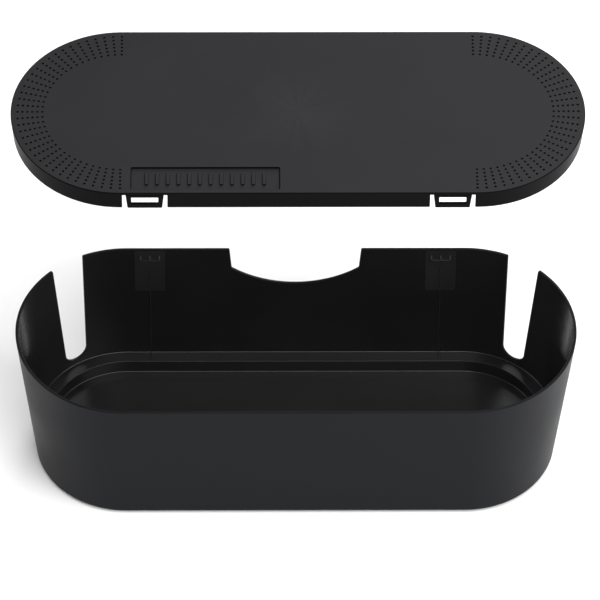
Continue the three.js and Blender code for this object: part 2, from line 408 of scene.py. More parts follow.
@dataclass(frozen=True)
class NodeBoard:
    """Lays out and wires the nodes of one material."""

    material: bpy.types.Material
    shader: bpy.types.Node
    where: Socket

    @classmethod
    def blank(cls, name: str, specular: float) -> NodeBoard:
        """Starts a material.

        Args:
            name: Its name.
            specular: The strength of its gloss.

        Returns:
            The board of the new material, with its shader and the coordinates of the piece.
        """
        material = bpy.data.materials.new(name)
        material.use_nodes = True
        nodes = material.node_tree.nodes
        shader = nodes["Principled BSDF"]
        shader.inputs["Specular IOR Level"].default_value = specular
        return cls(material, shader, nodes.new("ShaderNodeTexCoord").outputs["Object"])

    def feed(self, node: bpy.types.Node, inputs: dict[str | int, Feed]) -> None:
        """Fills the inputs of a node.

        Args:
            node: The node.
            inputs: The value of each input, or the socket that feeds it.
        """
        for key, value in inputs.items():
            if isinstance(value, Socket):
                self.material.node_tree.links.new(value, node.inputs[key])
            else:
                node.inputs[key].default_value = value

    def node(self, kind: str, output: str | int, inputs: dict[str | int, Feed],
             **settings: str) -> Socket:
        """Adds a node.

        Args:
            kind: The node's type name.
            output: The output that is wanted.
            inputs: The value of each input, or the socket that feeds it.
            **settings: The node's own choices.

        Returns:
            The wanted output.
        """
        node = self.material.node_tree.nodes.new(kind)
        for key, choice in settings.items():
            setattr(node, key, choice)
        self.feed(node, inputs)
        return node.outputs[output]

    def stretched(self, scale: Axes) -> Socket:
        """Gives the coordinates of the piece, squeezed or stretched along each axis."""
        return self.node("ShaderNodeMapping", "Vector", {"Vector": self.where, "Scale": scale})

    def noise(self, size: float, detail: float, where: Socket | None = None) -> Socket:
        """Adds soft noise, from 0 to 1, with lumps of a size in millimetres and finer layers on it."""
        inputs = {"Vector": where or self.where, "Scale": 1 / (size * MM), "Detail": detail}
        return self.node("ShaderNodeTexNoise", "Fac", inputs)

    def between(self, value: Socket, source: Point, target: Point) -> Socket:
        """Moves a value from one range to another."""
        keys = ("Value", "From Min", "From Max", "To Min", "To Max")
        return self.node("ShaderNodeMapRange", "Result", dict(zip(keys, (value, *source, *target))))

    def total(self, first: Socket, second: Socket) -> Socket:
        """Adds two values."""
        return self.node("ShaderNodeMath", 0, {0: first, 1: second}, operation="ADD")

    def product(self, first: Socket, second: Socket) -> Socket:
        """Multiplies two values."""
        return self.node("ShaderNodeMath", 0, {0: first, 1: second}, operation="MULTIPLY")

    def mix(self, share: Socket, first: Socket | Cover, second: Cover) -> Socket:
        """Blends two colours by the share of the second one."""
        inputs = {"Factor": share, "A": first, "B": second}
        return self.node("ShaderNodeMix", "Result", inputs, data_type="RGBA")

    def bump(self, height: Socket, depth: float, strength: float,
             under: Socket | Axes = (0.0, 0.0, 0.0)) -> Socket:
        """Tilts the surface by a height with a depth in millimetres, on top of another tilt."""
        inputs = {"Height": height, "Distance": depth * MM, "Strength": strength, "Normal": under}
        return self.node("ShaderNodeBump", "Normal", inputs)


@dataclass(frozen=True)
class MouldedPlastic:
    """Black styrene from a spark-eroded mould: fine grain, cloudy gloss, scuffs, and pale edges that are a
    painted highlight as well as rubbed wear.

    Sizes are in millimetres. Shades are factors of the colour, and bands are the part of a noise
    that counts.
    """

    name: str
    colour: Colour
    roughness: float
    roughness_spread: float
    specular: float
    grain: float
    grain_depth: float
    scuffs: float
    edge_wear_and_highlight: float
    gate_blush_and_sheen: float = 0.0
    tint: Colour = (1.0, 1.0, 1.0)
    cloud: float = 45.0
    cloud_band: Point = (0.3, 0.7)
    cloud_shades: Point = (0.91, 1.09)
    gloss_band: Point = (0.25, 0.75)
    scuff: float = 1.1
    scuff_stretch: Axes = (0.06, 0.5, 0.5)
    scuff_band: Point = (0.62, 0.74)
    corner_band: Point = (0.54, 0.62)
    edge_wear_and_highlight_patch: float = 9.0
    edge_wear_and_highlight_band: Point = (0.35, 0.65)
    edge_wear_and_highlight_shares: Point = (0.3, 1.0)
    edge_wear_and_highlight_shade: float = 3.2
    gate_blush_and_sheen_shade: float = 1.4
    ray_width: float = 320.0
    ray_band: Point = (0.38, 0.6)
    ray_shares: Point = (0.25, 1.0)
    flow: float = 3.5
    flow_stretch: Axes = (0.25, 0.25, 1.0)
    flow_strength: float = 0.35
    flow_depth: float = 0.02

    def material(self) -> bpy.types.Material:
        """Makes the material.

        Returns:
            The node material.
        """
        board = NodeBoard.blank(self.name, self.specular)
        cloud = board.noise(self.cloud, 3)
        dark, light = (shade_of(self.colour, factor) for factor in self.cloud_shades)
        colour = board.mix(board.between(cloud, self.cloud_band, (0.0, 1.0)), dark, light)
        # Pale edges: a painted highlight on the rounded edges, also standing for rubbed wear.
        colour = board.mix(self._edge_wear_and_highlight(board), colour, shade_of(self.colour, self.edge_wear_and_highlight_shade))
        # Painted sunburst highlight round the gate, laid over the gate's own blush.
        if self.gate_blush_and_sheen:
            colour = board.mix(self._gate_blush_and_sheen(board), colour, shade_of(self.colour, self.gate_blush_and_sheen_shade))
        gloss = board.between(cloud, self.gloss_band, around(self.roughness, self.roughness_spread))
        scuff = board.noise(self.scuff, 4, board.stretched(self.scuff_stretch))
        marks = board.between(scuff, self.scuff_band, (0.0, self.scuffs))
        board.feed(board.shader, {"Specular Tint": shade_of(self.tint), "Base Color": colour,
                                  "Roughness": board.total(gloss, marks), "Normal": self._bump(board)})
        return board.material

    def _edge_wear_and_highlight(self, board: NodeBoard) -> Socket:
        """Finds the corners to paint pale, a painted edge highlight that also stands for rubbed wear,
        broken up by noise.

        Args:
            board: The material's board.

        Returns:
            How worn each place is, from 0 to 1.
        """
        corners = board.node("ShaderNodeNewGeometry", "Pointiness", {})
        lit_and_rubbed = board.between(corners, self.corner_band, (0.0, self.edge_wear_and_highlight))
        patchy = board.between(board.noise(self.edge_wear_and_highlight_patch, 4), self.edge_wear_and_highlight_band, self.edge_wear_and_highlight_shares)
        return board.product(lit_and_rubbed, patchy)

    def _gate_blush_and_sheen(self, board: NodeBoard) -> Socket:
        """Paints faint pale rays round the moulding gate at the middle of the piece: a painted sunburst
        highlight over the gate's own blush.

        Args:
            board: The material's board.

        Returns:
            How pale each place is, from 0 to 1.
        """
        flat = board.stretched((1.0, 1.0, 0.0))
        reach = board.node("ShaderNodeVectorMath", "Value", {0: flat}, operation="LENGTH")
        heading = board.node("ShaderNodeVectorMath", "Vector", {0: flat}, operation="NORMALIZE")
        fade = board.between(reach, (0.0, self.gate_blush_and_sheen * MM), (1.0, 0.0))
        rays = board.between(board.noise(self.ray_width, 1, heading), self.ray_band, self.ray_shares)
        return board.product(fade, rays)

    def _bump(self, board: NodeBoard) -> Socket:
        """Adds the mould's grain and the slow waviness of the cooled wall.

        Args:
            board: The material's board.

        Returns:
            The tilted normal.
        """
        fine = board.bump(board.noise(self.grain, 2), self.grain_depth, 1.0)
        flow = board.noise(self.flow, 2, board.stretched(self.flow_stretch))
        return board.bump(flow, self.flow_depth, self.flow_strength, fine)


@dataclass(frozen=True)
class SoftRubber:
    """Dull black rubber with a dusty, pitted skin. Sizes are in millimetres."""

    name: str
    colour: Colour
    roughness: float
    roughness_spread: float = 0.08
    specular: float = 0.3
    dust: float = 4.0
    dust_band: Point = (0.4, 0.7)
    dust_shade: float = 2.0
    gloss_band: Point = (0.3, 0.7)
    pit: float = 0.5
    pit_depth: float = 0.04
    pit_strength: float = 0.8

    def material(self) -> bpy.types.Material:
        """Makes the material.

        Returns:
            The node material.
        """
        board = NodeBoard.blank(self.name, self.specular)
        dust = board.noise(self.dust, 4)
        share = board.between(dust, self.dust_band, (0.0, 1.0))
        spread = around(self.roughness, self.roughness_spread)
        board.feed(board.shader, {
            "Base Color": board.mix(share, shade_of(self.colour), shade_of(self.colour, self.dust_shade)),
            "Roughness": board.between(dust, self.gloss_band, spread),
            "Normal": board.bump(board.noise(self.pit, 3), self.pit_depth, self.pit_strength)})
        return board.material


@dataclass(frozen=True)
class PaleFloor:
    """A matt white studio floor."""

    name: str = "studio_floor"
    colour: Colour = (0.9, 0.9, 0.9)
    specular: float = 0.1
    patch: float = 30.0
    patch_band: Point = (0.3, 0.7)
    roughness: Point = (0.85, 0.95)

    def material(self) -> bpy.types.Material:
        """Makes the material.

        Returns:
            The node material.
        """
        board = NodeBoard.blank(self.name, self.specular)
        matt = board.between(board.noise(self.patch, 3), self.patch_band, self.roughness)
        board.feed(board.shader, {"Base Color": shade_of(self.colour), "Roughness": matt})
        return board.material


TUB_OUTSIDE = MouldedPlastic(
    "tub_outside", (0.0068, 0.0071, 0.0083), roughness=0.42, roughness_spread=0.05, specular=0.055,
    grain=0.5, grain_depth=0.02, scuffs=0.05, edge_wear_and_highlight=0.2, tint=(0.9, 0.95, 1.0))
# Its colour is lighter than the outside's: painted light that lifts the shaded interior.
TUB_INSIDE = MouldedPlastic(
    "tub_inside", (0.0094, 0.0093, 0.0098), roughness=0.22, roughness_spread=0.04, specular=0.45,
    grain=1.2, grain_depth=0.003, scuffs=0.015, edge_wear_and_highlight=0.12)
TUB_INSERT = MouldedPlastic(
    "tub_insert", (0.0135, 0.0133, 0.0142), roughness=0.36, roughness_spread=0.08, specular=0.4,
    grain=0.9, grain_depth=0.012, scuffs=0.03, edge_wear_and_highlight=0.1)
LID_GRAINED = MouldedPlastic(
    "lid_grained", (0.0102, 0.0099, 0.0109), roughness=0.56, roughness_spread=0.04, specular=0.14,
    grain=0.45, grain_depth=0.035, scuffs=0.04, edge_wear_and_highlight=0.2, gate_blush_and_sheen=45.0, tint=(0.97, 0.96, 1.0))
# Much darker than the grained top: painted shade on the skirt, the plate's sides and underside, the tongues
# and the walls of the panel and the bars.
LID_SMOOTH_PAINTED_SHADE = MouldedPlastic(
    "lid_smooth_painted_shade", (0.0018, 0.0017, 0.0018), roughness=0.36, roughness_spread=0.04, specular=0.022,
    grain=0.8, grain_depth=0.008, scuffs=0.03, edge_wear_and_highlight=0.15)
FOOT_RUBBER = SoftRubber("foot_rubber", (0.012, 0.012, 0.012), 0.82)


# ---- The plan outline that the tub and the lid share ----


@dataclass(frozen=True)
class PlanOutline:
    """Two half circles joined by straight sides.

    Distances along it are counted at the reference radius, from the middle of the front, and
    run to the right end, along the rear, and back round the left end.
    """

    end_centre: float
    reference: float = 76.0
    arc_steps: int = 84
    straight_step: float = 6.0

    @property
    def bend(self) -> float:
        """The distance round one half circle."""
        return math.pi * self.reference

    @property
    def length(self) -> float:
        """The distance all the way round."""
        return 2 * self.bend + 4 * self.end_centre

    def point(self, along: float, radius: float, height: float) -> Vector:
        """Finds a point of a wall.

        Args:
            along: The distance along the outline.
            radius: The distance out from the outline's middle line.
            height: The height.

        Returns:
            The point.
        """
        along %= self.length
        if along > self.length / 2:
            mirrored = self.point(self.length - along, radius, height)
            return Vector((-mirrored.x, mirrored.y, height))
        if along <= self.end_centre:
            return Vector((along, -radius, height))
        turn = (along - self.end_centre) / self.reference
        if turn <= math.pi:
            angle = turn - QUARTER
            x = self.end_centre + radius * math.cos(angle)
            return Vector((x, radius * math.sin(angle), height))
        rear = along - self.end_centre - self.bend
        return Vector((self.end_centre - rear, radius, height))

    def at_angle(self, angle: float) -> float:
        """Gives the distance along the outline of a direction from the right end's centre."""
        return self.end_centre + (angle + QUARTER) * self.reference

    def at_rear(self, x: float) -> float:
        """Gives the distance along the outline of a point of the rear side."""
        return self.end_centre + self.bend + (self.end_centre - x)

    def stations(self) -> list[float]:
        """Lists evenly spread distances along the outline, the joins among them.

        Returns:
            Distances from 0 to the full length, both among them.
        """
        half_steps = math.ceil(self.end_centre / self.straight_step)
        run = [self.end_centre * k / half_steps for k in range(half_steps)]
        run += [self.end_centre + self.bend * k / self.arc_steps for k in range(self.arc_steps)]
        rear = self.end_centre + self.bend
        run += [rear + self.end_centre * k / half_steps for k in range(half_steps + 1)]
        return run + [self.length - s for s in reversed(run[:-1])]


class TubFinish(Enum):
    """The finishes of the tub, in the order of its materials."""

    OUTSIDE = 0
    INSIDE = 1
    INSERT = 2


class LidFinish(Enum):
    """The finishes of the lid, in the order of its materials."""

    GRAINED = 0
    SMOOTH = 1


class End(Enum):
    """The two ends of the box, with the sign of their side."""

    LEFT = -1
    RIGHT = 1


class Face(Enum):
    """The two long faces of the box, with the sign of their side."""

    FRONT = -1
    REAR = 1


# ---- The tub ----


@dataclass
class Tub:
    """The open tub: a flaring wall over a floor, with a cable notch and two corner slots."""

    outline: PlanOutline
    rim_z: float
    bottom_z: float
    rim_radius: float
    base_radius: float = 69.0
    wall: float = 2.2
    edge_round: float = 0.45
    floor_z: float = 15.0
    ledge_z: float = 26.0
    ledge_width: float = 9.6
    riser_draft: float = 0.4
    bottom_round: float = 1.8
    heel_round: float = 0.3
    hollow_round: float = 0.5
    ledge_round: float = 0.9
    step_round: float = 0.4
    well_round: float = 0.8
    split_z: float = 28.0
    row_step: float = 5.0
    path_step: float = 1.6
    notch_top_half: float = 49.56
    notch_side_half: float = 47.9
    notch_side_depth: float = 18.9
    notch_depth: float = 34.2
    notch_turn: float = 2.0
    notch_steps: int = 24
    corner_round: float = 1.2
    lead_in: float = 5.0
    slot_angle: float = math.radians(56.3)
    slot_top_half: float = 13.67
    slot_bottom_radius: float = 9.6
    slot_depth: float = 100.0
    slot_steps: int = 20
    latch_x: float = 109.5
    foot_x: float = 122.0
    foot_y: float = 42.0
    post_bore: float = 5.0
    post_radius: float = 8.0
    post_draft: float = 0.25
    post_round: float = 0.4
    body: Body = field(default_factory=Body)

    def outer(self, z: float) -> float:
        """Gives the radius of the outside of the wall at a height."""
        rise = (z - self.bottom_z) / (self.rim_z - self.bottom_z)
        return self.base_radius + (self.rim_radius - self.base_radius) * rise

    def inner(self, z: float) -> float:
        """Gives the radius of the inside of the wall at a height."""
        return self.outer(z) - self.wall

    def place(self, along: float, z: float, depth: float) -> Vector:
        """Puts a point of the unrolled wall in its place, a depth in from the outside."""
        return self.outline.point(along, self.outer(z) - depth, z)

    def slot_mouth(self) -> list[Point]:
        """Draws one corner slot.

        Returns:
            Pairs of distance to the side of the slot's middle and height, from the rim on one
            side, down and up again.
        """
        low = self.rim_z - self.slot_depth + self.slot_bottom_radius
        half = self.slot_top_half
        side = rounded([(-half - self.lead_in, self.rim_z, 0), (-half, self.rim_z, self.corner_round),
                        (-self.slot_bottom_radius, low, 0)], Closing.OPEN)
        side = divided(side, Closing.OPEN, self.path_step)
        bottom = arc((0, low), self.slot_bottom_radius, math.pi, 2 * math.pi, self.slot_steps)
        other = [(-t, z) for t, z in reversed(side)]
        return side[:-1] + bottom + other[1:]

    def notch_mouth(self) -> list[Point]:
        """Draws the cable notch: short straight sides, then a shallow bowl.

        Returns:
            Pairs of distance to the side of the notch's middle and height.
        """
        sagitta = self.notch_depth - self.notch_side_depth
        radius = (self.notch_side_half ** 2 + sagitta ** 2) / (2 * sagitta)
        half = math.asin(self.notch_side_half / radius)
        low = self.rim_z - self.notch_depth
        bowl = arc((0, low + radius), radius, -QUARTER - half, -QUARTER, self.notch_steps)[3:]
        corners = [(-self.notch_top_half - self.lead_in, self.rim_z, 0),
                   (-self.notch_top_half, self.rim_z, self.corner_round),
                   (-self.notch_side_half, self.rim_z - self.notch_side_depth, self.notch_turn),
                   (*bowl[0], 0)]
        side = divided(rounded(corners, Closing.OPEN), Closing.OPEN, self.path_step)
        left = side + bowl[1:]
        return left + [(-t, z) for t, z in reversed(left[:-1])]

    def rim_path(self) -> list[Point]:
        """Draws the free upper edge of the wall, unrolled.

        Returns:
            Pairs of distance along the outline and height.
        """
        middle = self.outline.length / 2
        slot = self.outline.at_angle(self.slot_angle)
        path: list[Point] = [(0.0, self.rim_z)]
        for t, z in self.slot_mouth():
            path.append((slot + self.outline.reference * math.asin(t / self.outer(z)), z))
        path += [(middle + t, z) for t, z in self.notch_mouth() if t <= 0]
        path = divided(path, Closing.OPEN, self.path_step)
        return path + [(2 * middle - s, z) for s, z in reversed(path[:-1])]

    def grid(self, top: Sequence[Point]) -> list[Point]:
        """Spreads points over the unrolled wall, clear of its edges.

        Args:
            top: The upper edge of the sheet that they lie in.

        Returns:
            The points.
        """
        clearance = 2.2
        tree = KDTree(len(top))
        for k, (s, z) in enumerate(top):
            tree.insert((s, z, 0), k)
        tree.balance()
        marks = [s for s, _ in top]
        result: list[Point] = []
        for s in self.outline.stations()[1:-1]:
            k = min(bisect_left(marks, s), len(top) - 1)
            ceiling = top[k][1]
            for _, z in self.seam():
                if z < ceiling - clearance and tree.find((s, z, 0))[2] > clearance:
                    result.append((s, z))
        return result

    def seam(self) -> list[Point]:
        """Lists the points of the join between the two ends of the unrolled wall."""
        rows = math.floor((self.rim_z - self.split_z) / self.row_step)
        return [(0.0, self.split_z + row * self.row_step) for row in range(1, rows + 1)]

    def add_wall(self) -> None:
        """Adds the wall above the ledge, with its openings."""
        path = self.rim_path()
        edge = Edge(path[::-1], self.edge_round, self.edge_round, steps=4, closing=Closing.OPEN)
        top = edge.inset(self.edge_round)[::-1]
        top[0] = (0.0, top[0][1])
        top[-1] = (self.outline.length, top[-1][1])
        seam = self.seam()
        base = [(s, self.split_z) for s in self.outline.stations()]
        far_seam = [(self.outline.length, z) for _, z in seam]
        loop = base + far_seam + top[::-1] + seam[::-1]
        grid = self.grid(top) + edge.guard()[1:-1]
        self.body.take(TubFinish.OUTSIDE)
        self.body.sheet([loop], grid, 0, self.place)
        self.body.edge(edge, self.wall, self.place)
        self.body.take(TubFinish.INSIDE)
        self.body.sheet([loop], grid, self.wall, self.place)

    def outside_profile(self) -> list[Point]:
        """Draws the outside of the tub below the split.

        Returns:
            Pairs of radius and height, from the split down, under the wall and up into the
            hollow under the floor, to the middle line.
        """
        rows = 5
        drop = (self.split_z - self.bottom_z - self.bottom_round) / rows
        down = [(self.outer(self.split_z - k * drop), self.split_z - k * drop) for k in range(rows + 1)]
        turn = self.bottom_round
        centre = (self.outer(self.bottom_z + turn) - turn, self.bottom_z + turn)
        under = arc(centre, turn, 0, -QUARTER, 6)
        small = self.heel_round
        low = self.inner(self.bottom_z)
        heel = arc((low + small, self.bottom_z + small), small, -QUARTER, -math.pi, 3)
        ledge_under = self.ledge_z - self.wall
        riser = self.inner(self.ledge_z) - self.ledge_width + self.wall
        floor_under = self.floor_z - self.wall
        hollow = rounded([(low, self.bottom_z + small, 0),
                          (self.inner(ledge_under), ledge_under, self.well_round),
                          (riser, ledge_under, self.hollow_round),
                          (riser - self.riser_draft, floor_under, self.hollow_round),
                          (0, floor_under, 0)], Closing.OPEN)
        return down[:-1] + under + heel + hollow[1:]

    def inside_profile(self) -> list[Point]:
        """Draws the inside of the tub below the split.

        Returns:
            Pairs of radius and height, from the split down over the ledge to the middle of the
            floor.
        """
        step = self.inner(self.ledge_z) - self.ledge_width
        return rounded([(self.inner(self.split_z), self.split_z, 0),
                        (self.inner(self.ledge_z), self.ledge_z, self.ledge_round),
                        (step, self.ledge_z, self.step_round),
                        (step - self.riser_draft, self.floor_z, self.well_round),
                        (0, self.floor_z, 0)], Closing.OPEN)

    def add_base(self) -> None:
        """Adds everything below the split: the foot of the wall, the ledge and the floor."""
        stations = self.outline.stations()[:-1]
        profiles = {TubFinish.OUTSIDE: self.outside_profile(), TubFinish.INSIDE: self.inside_profile()}
        for finish, profile in profiles.items():
            self.body.take(finish)
            rows = [[self.outline.point(s, r, z) for s in stations] for r, z in profile]
            self.body.ribbon(rows, Closing.LOOP)

    def add_posts(self) -> None:
        """Adds the hollow posts under the floor that hold the feet."""
        self.body.take(TubFinish.OUTSIDE)
        top = self.floor_z - self.wall / 2
        low = self.bottom_z
        profile = rounded([(self.post_bore, low, self.post_round),
                           (self.post_radius, low, self.post_round),
                           (self.post_radius + self.post_draft, top, 0),
                           (self.post_bore, top, 0)], Closing.LOOP)
        for x in (-self.foot_x, self.foot_x):
            for y in (-self.foot_y, self.foot_y):
                self.body.turning(profile, Vector((x, y, 0)), Closing.LOOP)

    def build(self, outside: bpy.types.Material, inside: bpy.types.Material,
              insert: bpy.types.Material) -> bpy.types.Object:
        """Makes the tub.

        Args:
            outside: The finish of the outside and the underside.
            inside: The finish of the inside, its colour lightened as painted light.
            insert: The finish of the patches round the catches.

        Returns:
            The piece, riding on its body.
        """
        self.add_wall()
        self.add_base()
        self.add_posts()
        self.body.take(TubFinish.INSERT)
        for x in (-self.latch_x, self.latch_x):
            for face in Face:
                Catch(self, x, face).add()
                InsertPad(self, x, face).add()
        piece = self.body.to_object("tub_shell", [outside, inside, insert])
        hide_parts("tub")
        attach(piece, "tub")
        return piece


@dataclass
class Catch:
    """A catch inside the wall: three sloping ribs that stand on a ledge."""

    tub: Tub
    x: float
    face: Face
    width: float = 15.4
    top: float = 5.6
    bottom: float = 10.4
    reach: float = 1.5
    ledge: float = 1.0
    rib: float = 1.3
    rib_setback: float = 0.1
    tip: float = 0.4
    sink: float = 0.6
    side_round: float = 0.15
    nose_round: float = 0.2
    heel_round: float = 0.16
    brow_round: float = 0.3

    def spot(self, across: float, inwards: float, z: float) -> Vector:
        """Finds a point beside the catch's middle, inwards of the wall at the catch's foot."""
        wall = self.tub.inner(self.tub.rim_z - self.bottom)
        return Vector((self.x + across, self.face.value * (wall - inwards), z))

    def add_bar(self, section: Sequence[Corner], centre: float, width: float) -> None:
        """Adds a bar whose section is drawn across the wall.

        Args:
            section: Corners as distance inwards, height and radius.
            centre: The middle of the bar, beside the catch's middle.
            width: The width of the bar.
        """
        loop = turned_left(rounded(section, Closing.LOOP))

        def place(inwards: float, z: float, depth: float) -> Vector:
            """Puts a point of the section in its place, a depth across the bar."""
            return self.spot(centre - width / 2 + depth, inwards, z)

        self.tub.body.plate([Edge(loop, self.side_round, self.side_round)], width, place)

    def add(self) -> None:
        """Adds the catch to the tub."""
        high = self.tub.rim_z - self.top
        low = self.tub.rim_z - self.bottom
        root = -self.sink
        flush = self.tub.inner(low) - self.tub.inner(high)
        ledge = [(root, low, 0), (self.reach, low, self.nose_round),
                 (self.reach, low + self.ledge, self.brow_round), (root, low + self.ledge, 0)]
        self.add_bar(ledge, 0, self.width)
        heel = low + self.rib_setback
        rib = [(root, heel, 0), (self.reach, heel, self.heel_round),
               (self.reach, low + self.ledge + self.tip, self.brow_round),
               (flush, high, self.nose_round), (root + flush, high, 0)]
        step = (self.width - self.rib) / 2
        for k in (-1, 0, 1):
            self.add_bar(rib, k * step, self.rib)


@dataclass
class InsertPad:
    """The flat patch that the mould's insert leaves behind a catch, with a thin rib under it."""

    tub: Tub
    x: float
    face: Face
    width: float = 23.0
    top: float = 1.4
    bottom: float = 41.0
    proud_above: float = 0.06
    proud_below: float = 0.4
    rib_top: float = 17.8
    rib_width: float = 0.9
    rib_proud: float = 0.55
    rib_overlap: float = 0.5
    rib_corner: float = 0.4
    rib_edge: float = 0.2
    corner: float = 0.6
    edge: float = 0.05
    sink: float = 0.5
    step: float = 6.0

    def middle(self) -> float:
        """Gives the distance along the outline of the middle of the pad."""
        return self.x if self.face is Face.FRONT else self.tub.outline.at_rear(self.x)

    def add_strip(self, loop: list[Point], rounding: float, proud: Callable[[float], float]) -> None:
        """Adds a low strip that stands on the inside of the wall.

        Args:
            loop: Its outline, as distance along the wall and height.
            rounding: How far its edges are rounded.
            proud: Gives how far it stands off the wall at a height.
        """
        tub = self.tub

        def place(along: float, z: float, depth: float) -> Vector:
            """Puts a point of the strip in its place."""
            return tub.place(along, z, tub.wall + proud(z) - depth)

        edge = Edge(divided(loop, Closing.LOOP, self.step), rounding, rounding)
        tub.body.plate([edge], self.sink, place)

    def add(self) -> None:
        """Adds the pad and its rib to the tub."""
        high = self.tub.rim_z - self.top
        low = self.tub.rim_z - self.bottom
        middle = (self.middle(), (high + low) / 2)
        pad = slab(self.width, high - low, self.corner, middle)

        def pad_proud(z: float) -> float:
            """Lets the pad stand further off the wall towards its foot."""
            share = (high - z) / (high - low)
            return self.proud_above + (self.proud_below - self.proud_above) * share

        self.add_strip(pad, self.edge, pad_proud)
        rib_high = self.tub.rim_z - self.rib_top
        rib_low = self.tub.ledge_z - self.rib_overlap
        rib_middle = (self.middle(), (rib_high + rib_low) / 2)
        rib = slab(self.rib_width, rib_high - rib_low, self.rib_corner, rib_middle)
        self.add_strip(rib, self.rib_edge, lambda z: self.rib_proud)


# ---- The lid ----


@dataclass
class Lid:
    """The lid: a flat plate with fans of vent holes, a sunk panel, and a skirt that seats it."""

    outline: PlanOutline
    top: float
    radius: float
    plate: float = 2.2
    top_round: float = 0.6
    under_round: float = 0.1
    skirt: float = 1.8
    skirt_depth: float = 16.6
    skirt_draft: float = 0.0915
    skirt_step: float = 0.03
    skirt_overlap: float = 0.5
    skirt_grid: float = 4.0
    skirt_margin: float = 2.0
    skirt_corner: float = 0.7
    skirt_edge: float = 0.3
    tongue_x: float = 109.5
    tongue_gap: float = 16.1
    vent_radius: float = 0.88
    vent_round: float = 0.06
    vent_first: float = 56.5
    vent_pitch: float = 3.56
    vent_rows: int = 6
    vent_step: float = math.radians(5)
    panel_x: float = -66.4
    panel_y: float = -64.9
    panel_length: float = 106.0
    panel_width: float = 21.4
    panel_depth: float = 1.2
    panel_corner: float = 1.0
    panel_round: float = 0.25
    panel_hollow: float = 0.35
    panel_lean: float = 0.08
    bar_count: int = 12
    bar_pitch: float = 7.6
    bar_width: float = 2.6
    bar_length: float = 11.5
    bar_rise: float = 0.95
    bar_sink: float = 0.3
    bar_corner: float = 1.1
    bar_edge: float = 0.25
    bar_foot: float = 0.1
    body: Body = field(default_factory=Body)

    def flat(self, x: float, y: float, depth: float) -> Vector:
        """Puts a point of the plate in its place, a depth below the top."""
        return Vector((x, y, self.top - depth))

    def skirt_outside(self, depth: float) -> float:
        """Gives the radius of the outside of the skirt at a depth below the top."""
        return self.radius - self.skirt_draft * depth

    def leaning(self, along: float, sideways: float, depth: float) -> Vector:
        """Puts a point that lies in from the edge, at a depth, in its place, leaning with the skirt."""
        return self.outline.point(along, self.skirt_outside(depth) - sideways, self.top - depth)

    def vents(self) -> list[Edge]:
        """Draws the vent holes, in fans of straight rows round both ends.

        Returns:
            The edges of the holes.
        """
        sides = 12
        count = round(math.pi / self.vent_step)
        edges: list[Edge] = []
        for side in (-1, 1):
            for k in range(count + 1):
                angle = -QUARTER + k * self.vent_step
                for row in range(self.vent_rows):
                    reach = self.vent_first + row * self.vent_pitch
                    x = side * (self.outline.end_centre + reach * math.cos(angle))
                    ring = arc((x, reach * math.sin(angle)), self.vent_radius, 2 * math.pi, 0, sides)
                    edges.append(Edge(ring[:-1], self.vent_round, self.vent_round, steps=1))
        return edges

    def panel(self) -> list[Point]:
        """Draws the sunk panel, with the plate on its left."""
        middle = (self.panel_x, self.panel_y)
        return slab(self.panel_length, self.panel_width, self.panel_corner, middle)[::-1]

    def in_open(self, x: float, y: float) -> bool:
        """Says whether a point of the plate is clear of the vents, the edge and the sunk panel.

        Args:
            x: The point's place along the box.
            y: The point's place across the box.

        Returns:
            Whether it is clear.
        """
        clearance = 3.0
        reach = math.hypot(max(0.0, abs(x) - self.outline.end_centre), y)
        limit = self.vent_first if abs(x) > self.outline.end_centre - clearance else self.radius
        near_panel = (abs(x - self.panel_x) < self.panel_length / 2 + clearance
                      and abs(y - self.panel_y) < self.panel_width / 2 + clearance)
        return reach < limit - clearance and not near_panel

    def plate_grid(self) -> list[Point]:
        """Spreads points over the open part of the plate.

        Returns:
            The points.
        """
        step = 11.0
        across = range(-round(self.radius / step), round(self.radius / step) + 1)
        reach = round((self.outline.end_centre + self.radius) / step)
        spots = [(i * step, j * step) for i in range(-reach, reach + 1) for j in across]
        return [spot for spot in spots if self.in_open(*spot)]

    def add_plate(self) -> None:
        """Adds the plate with its holes and the sunk panel; only what faces up is grained, and the rest
        takes the smooth finish with painted shade.
        """
        body = self.body
        vents = self.vents()
        panel = Edge(self.panel(), self.panel_round, self.panel_round)
        stations = self.outline.stations()[:-1]
        rim = Edge([], self.top_round, self.under_round, steps=5).section(self.plate)
        rows = [[self.leaning(s, back, depth) for s in stations] for depth, back in rim]
        body.take(LidFinish.SMOOTH)
        body.ribbon(rows, Closing.LOOP)
        top, under = ([(p.x, p.y) for p in row] for row in (rows[0], rows[-1]))
        ring = [self.leaning(s, self.top_round + GUARD, 0) for s in stations]
        grid = self.plate_grid() + [(p.x, p.y) for p in ring]
        body.sheet([under] + [e.inset(e.far) for e in vents], grid, self.plate, self.flat)
        for edge in vents:
            body.edge(edge, self.plate, self.flat)
        body.take(LidFinish.GRAINED)
        holes = [e.inset(e.near) for e in [*vents, panel]]
        body.sheet([top] + holes, grid + panel.guard(), 0, self.flat)
        self.add_panel(panel)

    def add_panel(self, panel: Edge) -> None:
        """Adds the wall and the bed of the sunk panel, with a hollow corner between them.

        Args:
            panel: The upper edge of the panel.
        """
        steps = 3
        section = panel.section(self.panel_depth)[: panel.steps + 1]
        for k in range(steps + 1):
            angle = QUARTER * k / steps
            section.append((self.panel_depth - self.panel_hollow * (1 - math.sin(angle)),
                            -self.panel_lean - self.panel_hollow * (1 - math.cos(angle))))
        rows = [[self.flat(x, y, depth) for x, y in panel.inset(back)] for depth, back in section]
        self.body.take(LidFinish.SMOOTH)
        self.body.ribbon(rows, Closing.LOOP)
        self.body.take(LidFinish.GRAINED)
        bed = panel.inset(-self.panel_lean - self.panel_hollow)
        self.body.sheet([bed], [], self.panel_depth, self.flat)

